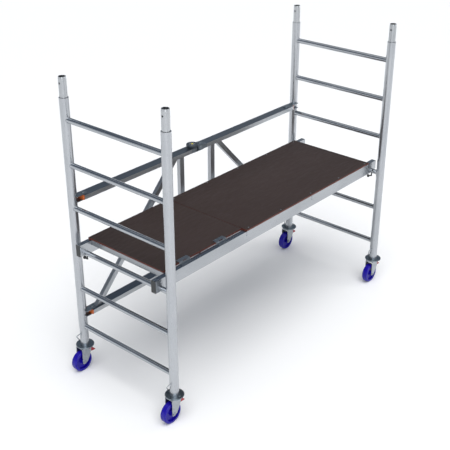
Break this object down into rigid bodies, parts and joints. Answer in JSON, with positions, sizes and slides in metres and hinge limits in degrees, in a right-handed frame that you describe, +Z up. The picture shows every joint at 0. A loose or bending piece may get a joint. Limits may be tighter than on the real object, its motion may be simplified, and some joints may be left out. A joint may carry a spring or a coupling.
{
  "type": "folding scaffold section",
  "caption": "Folding mobile scaffold section: ladder frames on braked castors, joined by a folding brace gate and a hooked deck with a trapdoor.",
  "frame": {"origin": "on the floor below the centre of the whole section's box", "axes": "+Z up, +X along the deck from the left ladder frame to the right one, +Y across the deck towards the folding brace gate"},
  "size_m": [2.1094, 0.8216, 1.768],
  "materials": {
    "upright_aluminium": "satin extruded tube",
    "rung_aluminium": "satin ribbed tube",
    "spigot_aluminium": "satin turned sleeve",
    "castor_plate_steel": "zinc plated disc",
    "bracket_aluminium": "sawn plate",
    "pin_steel": "zinc plated",
    "gate_bar_aluminium": "extruded and grooved",
    "strut_aluminium": "satin extruded box",
    "orange_plastic": "moulded",
    "knuckle_aluminium": "cast and dulled",
    "hub_plastic": "moulded",
    "rail_aluminium": "bright extruded box",
    "beam_aluminium": "satin extruded box",
    "film_faced_plywood": "brown phenolic film",
    "black_plastic": "moulded",
    "hinge_steel": "zinc plated",
    "clip_steel": "bright drawn wire",
    "fork_steel": "zinc plated pressing",
    "axle_steel": "zinc plated",
    "blue_polyurethane": "moulded",
    "red_plastic": "moulded"
  },
  "bodies": {
    "frame_left": {"upright_front_left": "upright_aluminium", "upright_back_left": "upright_aluminium", "rungs_left": "rung_aluminium", "spigots_left": "spigot_aluminium", "castor_plates_left": "castor_plate_steel", "gate_brackets_left": "bracket_aluminium", "gate_pins_left": "pin_steel"},
    "frame_right": {"upright_front_right": "upright_aluminium", "upright_back_right": "upright_aluminium", "rungs_right": "rung_aluminium", "spigots_right": "spigot_aluminium", "castor_plates_right": "castor_plate_steel", "gate_brackets_right": "bracket_aluminium", "gate_pins_right": "pin_steel"},
    "gate_left": {"gate_bar_upper_left": "gate_bar_aluminium", "gate_bar_lower_left": "gate_bar_aluminium", "gate_struts_left": "strut_aluminium", "gate_end_plugs_left": "orange_plastic", "gate_knuckles_left": "knuckle_aluminium"},
    "gate_right": {"gate_bar_upper_right": "gate_bar_aluminium", "gate_bar_lower_right": "gate_bar_aluminium", "gate_struts_right": "strut_aluminium", "gate_end_plugs_right": "orange_plastic", "gate_knuckles_right": "knuckle_aluminium"},
    "link_upper": {"hub_links_upper": "bracket_aluminium", "hub_pins_upper": "pin_steel", "hub_cap": "hub_plastic"},
    "link_lower": {"hub_links_lower": "bracket_aluminium", "hub_pins_lower": "pin_steel"},
    "deck": {"deck_rail_front": "rail_aluminium", "deck_rail_back": "rail_aluminium", "deck_cross_beams": "beam_aluminium", "deck_board": "film_faced_plywood", "deck_end_plugs": "black_plastic", "trapdoor_hinges_fixed": "hinge_steel"},
    "trapdoor": {"trapdoor_board": "film_faced_plywood", "trapdoor_hinges_moving": "hinge_steel"},
    "lock_left": {"wind_lock_left": "black_plastic"},
    "lock_right": {"wind_lock_right": "black_plastic"},
    "clip_front_left": {"castor_clip_front_left": "clip_steel"},
    "fork_front_left": {"castor_fork_front_left": "fork_steel", "castor_axle_front_left": "axle_steel"},
    "wheel_front_left": {"castor_wheel_front_left": "blue_polyurethane"},
    "pedal_front_left": {"brake_pedal_front_left": "red_plastic"},
    "clip_back_left": {"castor_clip_back_left": "clip_steel"},
    "fork_back_left": {"castor_fork_back_left": "fork_steel", "castor_axle_back_left": "axle_steel"},
    "wheel_back_left": {"castor_wheel_back_left": "blue_polyurethane"},
    "pedal_back_left": {"brake_pedal_back_left": "red_plastic"},
    "clip_front_right": {"castor_clip_front_right": "clip_steel"},
    "fork_front_right": {"castor_fork_front_right": "fork_steel", "castor_axle_front_right": "axle_steel"},
    "wheel_front_right": {"castor_wheel_front_right": "blue_polyurethane"},
    "pedal_front_right": {"brake_pedal_front_right": "red_plastic"},
    "clip_back_right": {"castor_clip_back_right": "clip_steel"},
    "fork_back_right": {"castor_fork_back_right": "fork_steel", "castor_axle_back_right": "axle_steel"},
    "wheel_back_right": {"castor_wheel_back_right": "blue_polyurethane"},
    "pedal_back_right": {"brake_pedal_back_right": "red_plastic"}
  },
  "joints": [
    {"name": "gate_fold", "type": "hinge", "parent": "frame_left", "child": "gate_left", "pos_m": [-0.90025, 0.33875, 0.7385], "axis": [0, 0, -1], "range_deg": [-90, 0]},
    {"name": "hub_hinge_upper", "type": "hinge", "parent": "gate_left", "child": "link_upper", "pos_m": [-0.03925, 0.33875, 1.0985], "axis": [0, 0, -1], "range_deg": [-1, 91]},
    {"name": "hub_hinge_lower", "type": "hinge", "parent": "gate_left", "child": "link_lower", "pos_m": [-0.03925, 0.33875, 0.3785], "axis": [0, 0, -1], "range_deg": [-1, 91]},
    {"name": "gate_right_hinge", "type": "hinge", "parent": "link_upper", "child": "gate_right", "pos_m": [0.02675, 0.33875, 0.7385], "axis": [0, 0, -1], "range_deg": [-1, 91]},
    {"name": "frame_right_hinge", "type": "hinge", "parent": "gate_right", "child": "frame_right", "pos_m": [0.88775, 0.33875, 0.7385], "axis": [0, 0, -1], "range_deg": [-91, 1]},
    {"name": "deck_lift", "type": "slide", "parent": "frame_left", "child": "deck", "axis": [0, 0, 1], "range_m": [-0.0005, 0.1205]},
    {"name": "trapdoor_hinge", "type": "hinge", "parent": "deck", "child": "trapdoor", "pos_m": [0, -0.27625, 0.867], "axis": [1, 0, 0], "range_deg": [0, 100]},
    {"name": "lock_left_slide", "type": "slide", "parent": "frame_left", "child": "lock_left", "axis": [0, 0, 1], "range_m": [0, 0.008]},
    {"name": "lock_right_slide", "type": "slide", "parent": "frame_right", "child": "lock_right", "axis": [0, 0, 1], "range_m": [0, 0.008]},
    {"name": "swivel_front_left", "type": "hinge", "parent": "frame_left", "child": "fork_front_left", "pos_m": [-0.95825, -0.35825, 0.15], "axis": [0, 0, 1], "continuous": true},
    {"name": "wheel_spin_front_left", "type": "hinge", "parent": "fork_front_left", "child": "wheel_front_left", "pos_m": [-0.99225, -0.35825, 0.0625], "axis": [0, 1, 0], "continuous": true},
    {"name": "pedal_press_front_left", "type": "hinge", "parent": "fork_front_left", "child": "pedal_front_left", "pos_m": [-0.94825, -0.35825, 0.134], "axis": [0, 1, 0], "range_deg": [0, 18]},
    {"name": "clip_pull_front_left", "type": "slide", "parent": "frame_left", "child": "clip_front_left", "axis": [-1, 0, 0], "range_m": [0, 0.075]},
    {"name": "swivel_back_left", "type": "hinge", "parent": "frame_left", "child": "fork_back_left", "pos_m": [-0.95825, 0.35825, 0.15], "axis": [0, 0, 1], "continuous": true},
    {"name": "wheel_spin_back_left", "type": "hinge", "parent": "fork_back_left", "child": "wheel_back_left", "pos_m": [-0.99225, 0.35825, 0.0625], "axis": [0, 1, 0], "continuous": true},
    {"name": "pedal_press_back_left", "type": "hinge", "parent": "fork_back_left", "child": "pedal_back_left", "pos_m": [-0.94825, 0.35825, 0.134], "axis": [0, 1, 0], "range_deg": [0, 18]},
    {"name": "clip_pull_back_left", "type": "slide", "parent": "frame_left", "child": "clip_back_left", "axis": [-1, 0, 0], "range_m": [0, 0.075]},
    {"name": "swivel_front_right", "type": "hinge", "parent": "frame_right", "child": "fork_front_right", "pos_m": [0.99775, -0.35825, 0.15], "axis": [0, 0, 1], "continuous": true},
    {"name": "wheel_spin_front_right", "type": "hinge", "parent": "fork_front_right", "child": "wheel_front_right", "pos_m": [0.96375, -0.35825, 0.0625], "axis": [0, 1, 0], "continuous": true},
    {"name": "pedal_press_front_right", "type": "hinge", "parent": "fork_front_right", "child": "pedal_front_right", "pos_m": [1.00775, -0.35825, 0.134], "axis": [0, 1, 0], "range_deg": [0, 18]},
    {"name": "clip_pull_front_right", "type": "slide", "parent": "frame_right", "child": "clip_front_right", "axis": [-1, 0, 0], "range_m": [0, 0.075]},
    {"name": "swivel_back_right", "type": "hinge", "parent": "frame_right", "child": "fork_back_right", "pos_m": [0.99775, 0.35825, 0.15], "axis": [0, 0, 1], "continuous": true},
    {"name": "wheel_spin_back_right", "type": "hinge", "parent": "fork_back_right", "child": "wheel_back_right", "pos_m": [0.96375, 0.35825, 0.0625], "axis": [0, 1, 0], "continuous": true},
    {"name": "pedal_press_back_right", "type": "hinge", "parent": "fork_back_right", "child": "pedal_back_right", "pos_m": [1.00775, 0.35825, 0.134], "axis": [0, 1, 0], "range_deg": [0, 18]},
    {"name": "clip_pull_back_right", "type": "slide", "parent": "frame_right", "child": "clip_back_right", "axis": [-1, 0, 0], "range_m": [0, 0.075]}
  ],
  "couplings": [
    {"joint": "hub_hinge_upper", "follows": "gate_fold", "ratio": -1},
    {"joint": "hub_hinge_lower", "follows": "gate_fold", "ratio": -1},
    {"joint": "gate_right_hinge", "follows": "gate_fold", "ratio": -1},
    {"joint": "frame_right_hinge", "follows": "gate_fold", "ratio": 1},
    {"joint": "deck_lift", "follows": "gate_fold", "m_per_rad": -0.076394}
  ]
}
